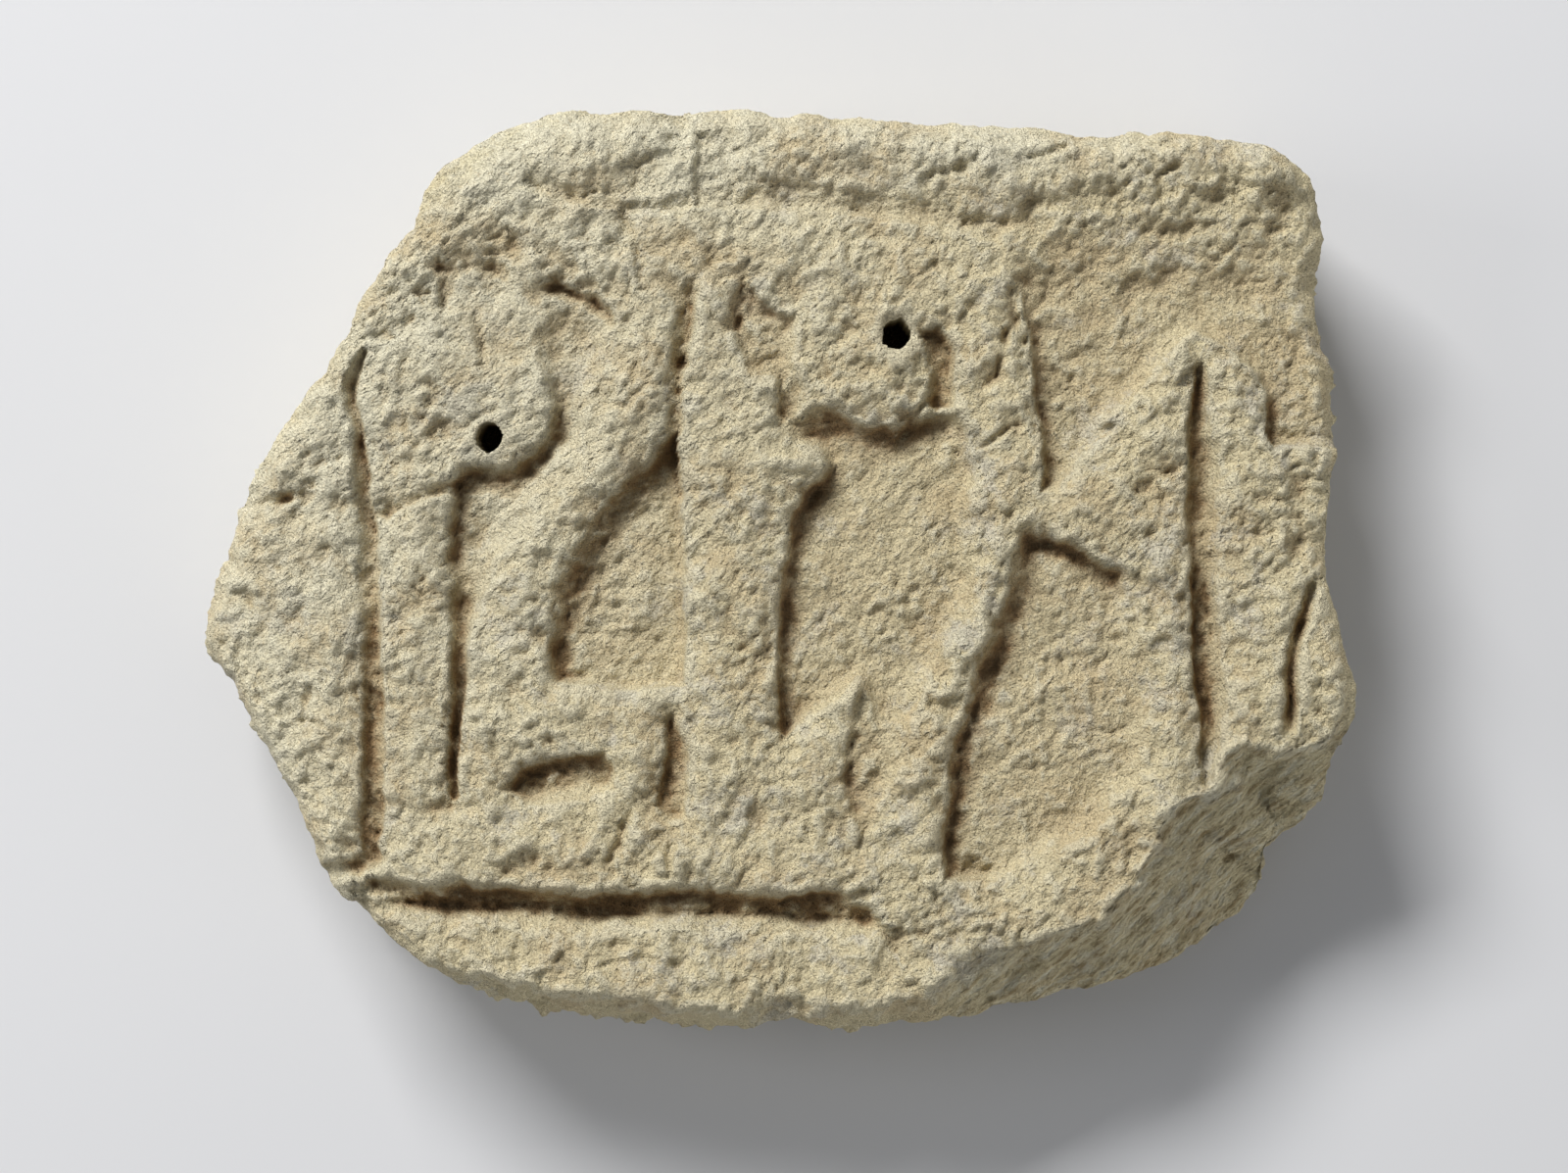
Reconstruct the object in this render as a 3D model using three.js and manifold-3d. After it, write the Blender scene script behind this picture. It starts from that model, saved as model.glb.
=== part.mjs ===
// A broken slab of limestone with a flat back, lying face up. Its front carries worn signs in low relief:
// strips, limbs and round heads stand up, the ground between them is cut back, and two small holes are drilled in.
// Millimetres. The back lies on z = 0, x runs across the panel, y runs up the panel, z runs out of the carved face.
import * as THREE from "three";
import { mergeVertices } from "three/addons/utils/BufferGeometryUtils.js";
import Module from "manifold-3d";

const wasm = await Module();
wasm.setup();

const THICKNESS = 56;
const BACK_INSET = 7; // the sides lean in towards the back by this much
const BACK_ROUND = 9; // height over which the back's edge is broken off
const TOP_STRIP_RISE = 1.2; // the plain strip along the top stands a little above the signs
const FOOT_DROP = 0.8; // the border below the signs lies a little lower
const SHOULDER = 9; // the tops roll down towards a cut over this distance
const SHOULDER_SHARE = 0.3; // share of a cut's depth taken up by that roll
const HOLE_WIDTH = 7.2;
const HOLE_DEPTH = 28;
const HOLE_SIDES = 10;
const CELLS = 512; // finest grid of the carved face, a power of two
const GRID = 320; // side of the square the carved face is worked out on
const TOLERANCE = 1.2; // largest miss between the carved face and its facets
const STONE = { color: 0xc9bb98, roughness: 0.95, metalness: 0 };

// Stations round the stone, from the top left down the left side, 300 wide and 238 high in all: the widest point
// (x, y), how far inside it the front's edge lies, and how far below the front the widest point lies.
const STATIONS = [
  [-51, 119, 5, 10], [-70, 115.5, 8, 10], [-86, 105, 8, 10], [-93, 90, 5, 9], [-106, 70.5, 4, 9],
  [-116, 52, 3, 9], [-131, 31.5, 3, 10], [-140, 15, 3, 10], [-150, -17, 3, 14], [-145, -27, 3, 18],
  [-132, -47, 2, 18], [-119, -70, 2, 20], [-117, -79, 4, 20], [-96, -98, 5, 22], [-82, -108, 6, 24],
  [-60, -114, 6, 24], [-38, -118, 5, 24], [-16, -119, 5, 24], [0, -115.5, 4, 20], [10, -118, 6, 18],
  [26, -118, 8, 20], [45, -115, 10, 22], [60, -111.5, 14, 24], [75, -108, 17, 26], [98, -101.5, 20, 30],
  [118, -91, 27, 34], [125, -78, 28, 32], [132, -66, 28, 30], [140, -55, 22, 26], [146, -46, 11, 18],
  [150, -33, 4, 12], [145, -10, 4, 14], [141, 1, 2, 14], [144, 25, 3, 12], [145, 45, 4, 12],
  [139.5, 70, 3, 10], [142, 90, 4, 10], [134, 106, 6, 10], [116, 111, 4, 8], [80, 112.5, 4, 8],
  [40, 115.5, 4, 8], [0, 118, 5, 8],
];

// A cut-back area: corners go round it, each with the run of the wall that starts there.
const AREAS = [
  {
    name: "triangle between limb and pillar",
    depth: 7.3,
    corners: [
      [-25, 35, 2.5], [-23.3, 10, 1.6], [-23.5, -30, 1.6], [-57, -28.8, 2], [-55, -9, 3], [-41, 15, 6],
    ],
  },
  {
    name: "middle ground and the channel round the second head",
    depth: 6.7,
    corners: [
      [12.5, 27, 2], [4, 0, 2], [1, -45, 2], [21, -29.5, 5], [17.3, -52, 1.5], [22, -71, 3], [31, -42, 6],
      [50, -3, 6], [50, 38, 4], [40, 37, 3], [28, 33.2, 3], [12, 40, 3], [4.5, 53, 3], [4.5, 64, 2],
      [-3.2, 75, 2], [-10.5, 77, 2.5], [-9.8, 58, 2], [-1, 50, 1.8], [-1.5, 38, 3],
    ],
  },
  {
    name: "upper right ground",
    depth: 6.2,
    corners: [
      [54, 84, 8], [64, 67, 2.5], [69.6, 30, 1.6], [72, 19.5, 2], [86, 37, 4], [109, 59, 3], [124, 50.5, 2],
      [127.5, 32, 1.4], [160, 31.5, 3], [160, 106, 12], [100, 106, 12], [60, 102, 10], [42, 93, 5],
    ],
  },
  {
    name: "valley under the top strip",
    depth: 4.5,
    corners: [
      [-20.8, 110, 1.2], [-20.8, 95, 1.2], [8, 94, 3], [30, 90, 3], [58, 84, 6], [64, 94, 8], [30, 106, 8],
    ],
  },
  {
    name: "lower right ground",
    depth: 6.2,
    corners: [
      [66, 10, 2], [62, -10, 2.2], [52.5, -39, 2], [47, -56, 1.8], [44.6, -80, 1.6], [60, -72, 10],
      [88, -48, 14], [94, -12, 10], [84, 1.5, 2],
    ],
  },
  {
    name: "long groove between blade and right strip",
    depth: 6.4,
    corners: [[108, 53, 1.2], [107.6, 8, 1.3], [110, -56, 1.3], [114.8, -40, 3], [114, 15, 3.6]],
  },
  {
    name: "inner left ground, from the groove up to the slot over the limb",
    depth: 5.9,
    corners: [
      [-81, 21, 2], [-83, 2, 1.6], [-82.6, -25, 1.1], [-84.4, -60, 1.4], [-80.6, -25, 1.4], [-76, -7, 3],
      [-58, 20, 8], [-44, 50, 7], [-42, 65, 2], [-57, 74, 2.5], [-63, 62, 4], [-54.4, 42, 2], [-61.5, 25, 2],
    ],
  },
  {
    name: "step above the first head",
    depth: 2.8,
    corners: [[-88, 78, 3], [-86.6, 66.6, 1.4], [-77.5, 62, 1.4], [-70, 53.5, 4], [-50, 56, 3], [-60, 75, 4]],
  },
  {
    name: "long groove on the left",
    depth: 5,
    corners: [[-107, 58, 1.2], [-110.8, 48, 1.2], [-105.2, 0, 1.2], [-104.8, -74, 1.2], [-101.2, -60, 1.4], [-103, 14, 2]],
  },
  {
    name: "hollow under the low mass",
    depth: 6.4,
    corners: [[-69, -57, 3], [-60, -51, 2.2], [-43.5, -49, 2], [-42.4, -56, 3.5], [-62, -60.5, 3.5]],
  },
  {
    name: "slot beside the pillar's foot",
    depth: 5.6,
    corners: [[-27.6, -36, 1], [-29.6, -58, 1.4], [-25.5, -65, 1.6], [-22.8, -52, 1.5]],
  },
  {
    name: "plain margin left of the signs",
    depth: 2.2,
    corners: [[-123, 22, 4], [-122.5, -40, 3], [-121, -72, 4], [-160, -80, 4], [-160, 22, 4]],
  },
  {
    name: "notch beside the second head",
    depth: 4.8,
    corners: [[46.5, 42, 2], [45.4, 57, 2], [37, 62, 1.4], [41, 49, 1.8]],
  },
];

// A groove along a line: the run of its wall on the left and on the right of the way it is drawn.
const GROOVES = [
  {
    name: "ledge under the signs",
    depth: 6.2,
    left: 4.2,
    right: 9,
    line: [[-101, -82.8], [-84, -84], [-50, -86.6], [-26, -84.4], [0, -86.4], [21, -89.6]],
  },
  { name: "fork of that ledge", depth: 3.1, left: 2, right: 3, line: [[2, -85.5], [22.5, -83]] },
  { name: "undercut of the limb", depth: 2.2, left: 2, right: 2.2, line: [[-30, 29], [-47, 4], [-55.6, -26]] },
  { name: "slot beside the pillar's top", depth: 4.2, left: 2.2, right: 1.8, line: [[-24, 66], [-24.4, 54]] },
  { name: "slot near the right edge", depth: 3.6, left: 1.6, right: 1.8, line: [[138, -5], [134, -22], [132.6, -38]] },
  { name: "pit in the margin", depth: 3.9, left: 2.2, right: 2.2, line: [[-132, 18], [-126.5, 18]] },
  { name: "foot of the left strip", depth: 2.8, left: 1.8, right: 2.4, line: [[-115, -76.5], [-103, -73.6]] },
  { name: "arch crest", depth: 2, left: 1.8, right: 2.2, line: [[-61, 99], [-40, 93], [-35, 76]] },
  { name: "crack at the blade's root", depth: 2.8, left: 1.6, right: 1.8, line: [[80.5, 32.5], [88, 37]] },
  { name: "spur beside the band", depth: 3.1, left: 1.8, right: 2, line: [[49.5, -51.4], [58, -48]] },
  { name: "pit at the band's foot", depth: 4.5, left: 2, right: 2, line: [[50.5, -76.6], [56, -77.2]] },
];

const HOLES = [
  { name: "first head", x: -74, y: 34.5 },
  { name: "second head", x: 31, y: 61 },
];

function easeIn(share) {
  const t = THREE.MathUtils.clamp(share, 0, 1);
  return t * t * (3 - 2 * t);
}

// Nearest point of the straight piece a-b to (x, y): its distance, its share along a-b, and the side (x, y) is on.
function nearestOn(a, b, x, y) {
  const runX = b[0] - a[0];
  const runY = b[1] - a[1];
  const along = ((x - a[0]) * runX + (y - a[1]) * runY) / (runX * runX + runY * runY);
  const share = THREE.MathUtils.clamp(along, 0, 1);
  const distance = Math.hypot(x - a[0] - share * runX, y - a[1] - share * runY);
  return { distance, share, onLeft: runX * (y - a[1]) - runY * (x - a[0]) > 0 };
}

function depthOfArea(area, x, y) {
  let nearest = { distance: Infinity };
  let wall = 1;
  let inside = false;
  area.corners.forEach((a, i) => {
    const b = area.corners[(i + 1) % area.corners.length];
    const found = nearestOn(a, b, x, y);
    if (found.distance < nearest.distance) {
      nearest = found;
      wall = THREE.MathUtils.lerp(a[2], b[2], found.share);
    }
    const crosses = a[1] > y !== b[1] > y;
    if (crosses && x < ((b[0] - a[0]) * (y - a[1])) / (b[1] - a[1]) + a[0]) inside = !inside;
  });
  const depthIn = inside ? nearest.distance : 0;
  const distanceOut = inside ? 0 : nearest.distance;
  const roll = SHOULDER_SHARE * easeIn(1 - distanceOut / SHOULDER);
  return area.depth * (roll + (1 - SHOULDER_SHARE) * easeIn(depthIn / wall));
}

function depthOfGroove(groove, x, y) {
  let nearest = { distance: Infinity };
  for (let i = 0; i + 1 < groove.line.length; i += 1) {
    const found = nearestOn(groove.line[i], groove.line[i + 1], x, y);
    if (found.distance < nearest.distance) nearest = found;
  }
  return groove.depth * easeIn(1 - nearest.distance / (nearest.onLeft ? groove.left : groove.right));
}

// Height of the carved face over the back.
function faceHeight(x, y) {
  const strip = TOP_STRIP_RISE * easeIn((y - 98) / 14);
  const foot = FOOT_DROP * easeIn((-90 - y) / 10);
  const area = Math.max(...AREAS.map((one) => depthOfArea(one, x, y)));
  const groove = GROOVES.reduce((sum, one) => sum + depthOfGroove(one, x, y), 0);
  return THICKNESS - TOP_STRIP_RISE + strip - foot - area - groove * (1 - area / 8);
}

// The carved face as a grid of heights, row by row from the lower left.
function sampleFace() {
  const size = CELLS + 1;
  const heights = new Float32Array(size * size);
  for (let row = 0; row < size; row += 1) {
    for (let column = 0; column < size; column += 1) {
      const x = (column / CELLS - 0.5) * GRID;
      const y = (row / CELLS - 0.5) * GRID;
      heights[row * size + column] = faceHeight(x, y);
    }
  }
  return heights;
}

// The right-angled triangle with this number in the halving tree: ends of its long side, then its right angle.
function treeTriangle(number) {
  const lower = number % 2 === 1;
  let a = lower ? [0, 0] : [CELLS, CELLS];
  let b = lower ? [CELLS, CELLS] : [0, 0];
  let c = lower ? [CELLS, 0] : [0, CELLS];
  for (let step = number >> 1; step > 1; step >>= 1) {
    const middle = [(a[0] + b[0]) / 2, (a[1] + b[1]) / 2];
    if (step % 2 === 1) [a, b] = [c, a];
    else [a, b] = [b, c];
    c = middle;
  }
  return [a, b, c];
}

// For every grid point, the miss left if the triangle whose long side it halves stays whole.
function missesOf(heights) {
  const size = CELLS + 1;
  const misses = new Float32Array(size * size);
  const at = (p, q) => ((p[1] + q[1]) / 2) * size + (p[0] + q[0]) / 2;
  const triangles = CELLS * CELLS * 2 - 2;
  const parents = triangles - CELLS * CELLS;
  for (let i = triangles - 1; i >= 0; i -= 1) {
    const [a, b, c] = treeTriangle(i + 2);
    const middle = at(a, b);
    const flat = (heights[a[1] * size + a[0]] + heights[b[1] * size + b[0]]) / 2;
    let miss = Math.max(misses[middle], Math.abs(flat - heights[middle]));
    if (i < parents) miss = Math.max(miss, misses[at(a, c)], misses[at(b, c)]);
    misses[middle] = miss;
  }
  return misses;
}

// Facets of the carved face, small where it is cut and large where it is plain, closed underneath.
function carvedSlab() {
  const size = CELLS + 1;
  const heights = sampleFace();
  const misses = missesOf(heights);
  const floor = -GRID / 10;
  const corners = [];
  const place = (p, onFloor) => {
    const z = onFloor ? floor : heights[p[1] * size + p[0]];
    corners.push((p[0] / CELLS - 0.5) * GRID, (p[1] / CELLS - 0.5) * GRID, z);
  };
  const centre = [CELLS / 2, CELLS / 2];
  const onRim = (p, q) => [0, 1].some((i) => p[i] === q[i] && (p[i] === 0 || p[i] === CELLS));
  const close = (p, q) => {
    if (!onRim(p, q)) return;
    for (const [point, low] of [[p, true], [q, true], [q, false], [p, true], [q, false], [p, false]]) {
      place(point, low);
    }
    for (const point of [q, p, centre]) place(point, true);
  };
  const split = (a, b, c) => {
    const middle = [(a[0] + b[0]) / 2, (a[1] + b[1]) / 2];
    const halves = Math.abs(a[0] - c[0]) + Math.abs(a[1] - c[1]) > 1;
    if (halves && misses[middle[1] * size + middle[0]] > TOLERANCE) {
      split(c, a, middle);
      split(b, c, middle);
      return;
    }
    for (const point of [a, b, c]) place(point, false);
    close(a, b);
    close(b, c);
    close(c, a);
  };
  split([0, 0], [CELLS, CELLS], [0, CELLS]);
  split([CELLS, CELLS], [0, 0], [CELLS, 0]);
  return solidFrom(corners);
}

function solidFrom(corners) {
  const geometry = new THREE.BufferGeometry();
  geometry.setAttribute("position", new THREE.Float32BufferAttribute(corners, 3));
  return solidOf(geometry);
}

function solidOf(geometry) {
  const bare = geometry.clone();
  bare.deleteAttribute("normal");
  bare.deleteAttribute("uv");
  const merged = mergeVertices(bare, 1e-4);
  const mesh = new wasm.Mesh({
    numProp: 3,
    vertProperties: merged.attributes.position.array,
    triVerts: new Uint32Array(merged.index.array),
  });
  return new wasm.Manifold(mesh);
}

// The point a given way inside the outline at one station, square to the line between its neighbours.
function insideAt(index, inset) {
  const before = STATIONS[(index + STATIONS.length - 1) % STATIONS.length];
  const after = STATIONS[(index + 1) % STATIONS.length];
  const runX = after[0] - before[0];
  const runY = after[1] - before[1];
  const length = Math.hypot(runX, runY);
  const [x, y] = STATIONS[index];
  return [x - (inset * runY) / length, y + (inset * runX) / length];
}

// The broken body: rings round the stone from the back up past the carved face, with both ends capped.
function brokenBody() {
  const rings = [
    STATIONS.map((_, i) => [...insideAt(i, BACK_INSET), 0]),
    STATIONS.map((_, i) => [...insideAt(i, BACK_INSET / 3), BACK_ROUND]),
    STATIONS.map(([x, y, , fall]) => [x, y, THICKNESS - fall]),
    STATIONS.map(([, , inset], i) => [...insideAt(i, inset * 0.7), THICKNESS - 5]),
    STATIONS.map(([, , inset], i) => [...insideAt(i, inset + 2), THICKNESS - 1.5]),
    STATIONS.map(([, , inset], i) => [...insideAt(i, inset + 12), THICKNESS + 2]),
  ];
  const corners = [];
  for (let r = 0; r + 1 < rings.length; r += 1) {
    STATIONS.forEach((_, i) => {
      const next = (i + 1) % STATIONS.length;
      const [low, lowNext] = [rings[r][i], rings[r][next]];
      const [high, highNext] = [rings[r + 1][i], rings[r + 1][next]];
      corners.push(...low, ...lowNext, ...highNext, ...low, ...highNext, ...high);
    });
  }
  for (const [ring, faceUp] of [[rings[0], false], [rings.at(-1), true]]) {
    const flat = ring.map(([x, y]) => new THREE.Vector2(x, y));
    for (const [i, j, k] of THREE.ShapeUtils.triangulateShape(flat, [])) {
      const turn = new THREE.Vector2().subVectors(flat[j], flat[i]);
      const other = new THREE.Vector2().subVectors(flat[k], flat[i]);
      const order = turn.cross(other) > 0 === faceUp ? [i, j, k] : [i, k, j];
      for (const corner of order) corners.push(...ring[corner]);
    }
  }
  return solidFrom(corners);
}

function drilledHole({ x, y }) {
  const length = HOLE_DEPTH + 10;
  const bit = new THREE.CylinderGeometry(HOLE_WIDTH / 2, HOLE_WIDTH / 2.6, length, HOLE_SIDES);
  bit.rotateX(Math.PI / 2);
  bit.translate(x, y, THICKNESS - HOLE_DEPTH + length / 2);
  return solidOf(bit);
}

function geometryOf(solid) {
  const { vertProperties, triVerts } = solid.getMesh();
  const geometry = new THREE.BufferGeometry();
  geometry.setAttribute("position", new THREE.BufferAttribute(vertProperties, 3));
  geometry.setIndex(new THREE.BufferAttribute(triVerts, 1));
  return geometry;
}

const carved = HOLES.reduce(
  (stone, hole) => stone.subtract(drilledHole(hole)),
  brokenBody().intersect(carvedSlab()),
);

const block = new THREE.Mesh(geometryOf(carved), new THREE.MeshStandardMaterial(STONE));
block.name = "stone_block";

const panel = new THREE.Group();
panel.name = "stone_relief_panel";
panel.add(block);

export default panel;
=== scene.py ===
"""A broken limestone slab with worn signs in low relief, lying face up on its flat back.

Lengths in the tables below are millimetres on the carved face: x to the right, y up the panel, both from the
middle of the slab, and depths below the level of the raised signs. Every place is worked out from the CAD
block's own box.
"""

import logging
import math
from dataclasses import dataclass, field
from enum import Enum

import bpy
import numpy as np
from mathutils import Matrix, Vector, noise


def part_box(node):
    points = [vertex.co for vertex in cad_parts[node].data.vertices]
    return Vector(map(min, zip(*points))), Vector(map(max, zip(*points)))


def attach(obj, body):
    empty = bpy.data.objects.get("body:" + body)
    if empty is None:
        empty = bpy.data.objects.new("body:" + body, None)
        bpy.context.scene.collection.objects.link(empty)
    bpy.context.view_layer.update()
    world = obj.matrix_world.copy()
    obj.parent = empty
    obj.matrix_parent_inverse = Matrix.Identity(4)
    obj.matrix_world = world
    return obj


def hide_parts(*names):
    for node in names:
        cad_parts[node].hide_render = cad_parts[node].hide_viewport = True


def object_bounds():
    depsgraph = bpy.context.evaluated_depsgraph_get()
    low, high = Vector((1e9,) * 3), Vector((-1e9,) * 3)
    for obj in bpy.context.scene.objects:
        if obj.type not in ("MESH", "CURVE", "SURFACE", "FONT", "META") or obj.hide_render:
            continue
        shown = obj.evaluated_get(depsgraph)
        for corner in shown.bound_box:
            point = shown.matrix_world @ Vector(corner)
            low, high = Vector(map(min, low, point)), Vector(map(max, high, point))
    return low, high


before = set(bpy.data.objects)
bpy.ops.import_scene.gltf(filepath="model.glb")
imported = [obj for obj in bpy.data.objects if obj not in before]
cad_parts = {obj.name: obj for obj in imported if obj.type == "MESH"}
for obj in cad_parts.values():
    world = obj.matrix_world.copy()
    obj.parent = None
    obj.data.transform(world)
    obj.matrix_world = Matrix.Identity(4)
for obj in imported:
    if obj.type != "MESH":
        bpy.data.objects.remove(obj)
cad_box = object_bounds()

LOG = logging.getLogger("stone_relief_panel")
DESIGN_WIDTH = 300.0
FACE_COLUMNS = 300
FACE_ROWS = 238
SIDE_RINGS = 18
BACK_COLUMNS = 56
BACK_ROWS = 44
NOISE_SEED = 7


class Surface(Enum):
    """Which part of the stone a point belongs to, by how it was made."""

    FACE = 0
    SIDE = 1
    BACK = 2


class Tone(Enum):
    """Named tones of the limestone, as linear colours."""

    CREAM = (0.82, 0.71, 0.45)
    PALE = (0.90, 0.84, 0.63)
    TAN = (0.70, 0.56, 0.33)
    ASH = (0.68, 0.64, 0.53)
    # The next two browns are laid as dirt with painted shadow in the hollows and under higher stone.
    DIRT_AND_SHADOW_EARTH = (0.21, 0.13, 0.06)
    DIRT_AND_SHADOW_RUST = (0.42, 0.24, 0.10)
    # Umber is laid as painted shade on walls that face down to the right, and as streaks on the broken
    # corner.
    UMBER_STREAK_AND_SHADE = (0.40, 0.29, 0.14)
    BROKEN = (0.84, 0.74, 0.44)


def ease(share: np.ndarray) -> np.ndarray:
    """Rises smoothly from 0 to 1 as share does."""
    t = np.clip(share, 0.0, 1.0)
    return t * t * (3.0 - 2.0 * t)


def along_edge(
    x: np.ndarray, y: np.ndarray, start: np.ndarray, end: np.ndarray
) -> tuple[np.ndarray, np.ndarray]:
    """Finds how far along a straight edge the nearest place on it is, and the gap to it."""
    run_x, run_y = end[0] - start[0], end[1] - start[1]
    along = ((x - start[0]) * run_x + (y - start[1]) * run_y) / (run_x**2 + run_y**2)
    along = np.clip(along, 0.0, 1.0)
    return along, np.hypot(x - start[0] - along * run_x, y - start[1] - along * run_y)


def nearest_on_lines(
    x: np.ndarray, y: np.ndarray, points: np.ndarray, closed: bool
) -> tuple[np.ndarray, np.ndarray, np.ndarray]:
    """Finds the nearest place on a run of straight lines.

    Args:
        x: Places across.
        y: Places up.
        points: Corners, one row each, with any value to carry along in the third column.
        closed: Whether the last corner joins the first.

    Returns:
        Distance, the carried value there, and +1 or -1 for the left or right of the line.
    """
    distance = np.full(x.shape, np.inf)
    carried = np.zeros(x.shape)
    side = np.ones(x.shape)
    count = len(points) if closed else len(points) - 1
    for index in range(count):
        start, end = points[index], points[(index + 1) % len(points)]
        along, gap = along_edge(x, y, start, end)
        nearer = gap < distance
        distance = np.where(nearer, gap, distance)
        turn = (end[0] - start[0]) * (y - start[1]) - (end[1] - start[1]) * (x - start[0])
        side = np.where(nearer, np.where(turn > 0, 1.0, -1.0), side)
        if points.shape[1] > 2:
            carried = np.where(nearer, start[2] + along * (end[2] - start[2]), carried)
    return distance, carried, side


def inside_of(x: np.ndarray, y: np.ndarray, points: np.ndarray) -> np.ndarray:
    """Tells which places lie inside a closed outline."""
    inside = np.zeros(x.shape, dtype=bool)
    for index in range(len(points)):
        start, end = points[index], points[(index + 1) % len(points)]
        if start[1] == end[1]:
            continue
        crosses = (start[1] > y) != (end[1] > y)
        inside ^= crosses & (x < (end[0] - start[0]) * (y - start[1]) / (end[1] - start[1]) + start[0])
    return inside


@dataclass(frozen=True)
class Ground:
    """Ground cut back between the signs: each corner carries the run of the wall that falls to it."""

    name: str
    depth: float
    corners: tuple[tuple[float, float, float], ...]
    pocked: bool = False

    SHOULDER_REACH = 10.0
    SHOULDER_SHARE = 0.30
    STEEP_RUN = 8.0
    STEEPNESS = 1.9

    def depth_at(self, x: np.ndarray, y: np.ndarray) -> tuple[np.ndarray, np.ndarray]:
        """Works out the cut.

        Args:
            x: Places across.
            y: Places up.

        Returns:
            Depth below the raised level, and how far into the floor a place is, from 0 to 1.
        """
        points = np.array(self.corners)
        distance, wall, _ = nearest_on_lines(x, y, points, closed=True)
        inside = inside_of(x, y, points)
        out = np.where(inside, 0.0, distance)
        roll = np.clip(1.0 - out / self.SHOULDER_REACH, 0.0, 1.0) ** 2
        share = inside.astype(float)
        for start, end in zip(points, np.roll(points, -1, axis=0)):
            along, gap = along_edge(x, y, start, end)
            share = np.minimum(share, gap / (start[2] + along * (end[2] - start[2])))
        gentle = ease((wall - self.STEEP_RUN) / self.STEEP_RUN)
        steep = 1.0 - (1.0 - share) ** self.STEEPNESS
        wall_fall = (1.0 - gentle) * steep + gentle * ease(share)
        depth = self.depth * (self.SHOULDER_SHARE * roll + (1.0 - self.SHOULDER_SHARE) * wall_fall)
        return depth, ease(share)


@dataclass(frozen=True)
class Groove:
    """A groove along a line, with the run of its wall to the left and right of the way it is drawn."""

    name: str
    depth: float
    left: float
    right: float
    line: tuple[tuple[float, float], ...]

    def depth_at(self, x: np.ndarray, y: np.ndarray) -> np.ndarray:
        """Depth of the groove at each place."""
        distance, _, side = nearest_on_lines(x, y, np.array(self.line), closed=False)
        return self.depth * ease(1.0 - distance / np.where(side > 0, self.left, self.right))


@dataclass(frozen=True)
class Dent:
    """A round dent, or a swelling where its depth is negative."""

    x: float
    y: float
    radius: float
    depth: float

    FADE = 1.5

    def depth_at(self, x: np.ndarray, y: np.ndarray) -> np.ndarray:
        """Depth of the dent at each place."""
        away = (x - self.x) ** 2 + (y - self.y) ** 2
        return self.depth * np.exp(-self.FADE * away / self.radius**2)


@dataclass(frozen=True)
class DrilledHole:
    """A small drilled hole with a broken, many-sided mouth."""

    x: float
    y: float
    radius: float
    depth: float
    corners: tuple[float, ...]
    draw_in: float = 2.6
    crowding: float = 1.8
    lip_depth: float = 0.5
    lip_width: float = 1.6
    clean_width: float = 3.0

    def mouth_radius(self, angle: np.ndarray) -> np.ndarray:
        """Radius of the mouth in each direction, from the stretch of each of its corners."""
        turn = (angle / (2.0 * math.pi)) % 1.0 * len(self.corners)
        low = np.floor(turn).astype(int) % len(self.corners)
        high = (low + 1) % len(self.corners)
        stretch = np.array(self.corners)
        return self.radius * (stretch[low] + (stretch[high] - stretch[low]) * (turn - np.floor(turn)))

    def gather(self, x: np.ndarray, y: np.ndarray) -> tuple[np.ndarray, np.ndarray]:
        """Draws nearby places towards the mouth's edge, so that the edge comes out clean.

        Args:
            x: Places across.
            y: Places up.

        Returns:
            The moved places.
        """
        across, up = x - self.x, y - self.y
        distance = np.maximum(np.hypot(across, up), 1e-6)
        rim = self.mouth_radius(np.arctan2(up, across))
        off = distance - rim
        near = np.abs(off) < self.draw_in
        drawn = np.sign(off) * np.abs(off / self.draw_in) ** self.crowding * self.draw_in
        moved = np.where(near, drawn, off)
        stretch = (rim + moved) / distance
        return self.x + across * stretch, self.y + up * stretch

    def depth_at(self, x: np.ndarray, y: np.ndarray) -> np.ndarray:
        """Depth of the hole at each place, with its lip a little worn."""
        across, up = x - self.x, y - self.y
        off = np.hypot(across, up) - self.mouth_radius(np.arctan2(up, across))
        lip = self.lip_depth * np.clip(1.0 - off / self.lip_width, 0.0, 1.0) ** 2
        return np.where(off < 0.0, self.depth, lip)

    def lip_at(self, x: np.ndarray, y: np.ndarray) -> np.ndarray:
        """How near each place is to the mouth, from 0 to 1."""
        across, up = x - self.x, y - self.y
        return ease(1.0 - (np.hypot(across, up) - self.radius) / self.clean_width)


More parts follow.
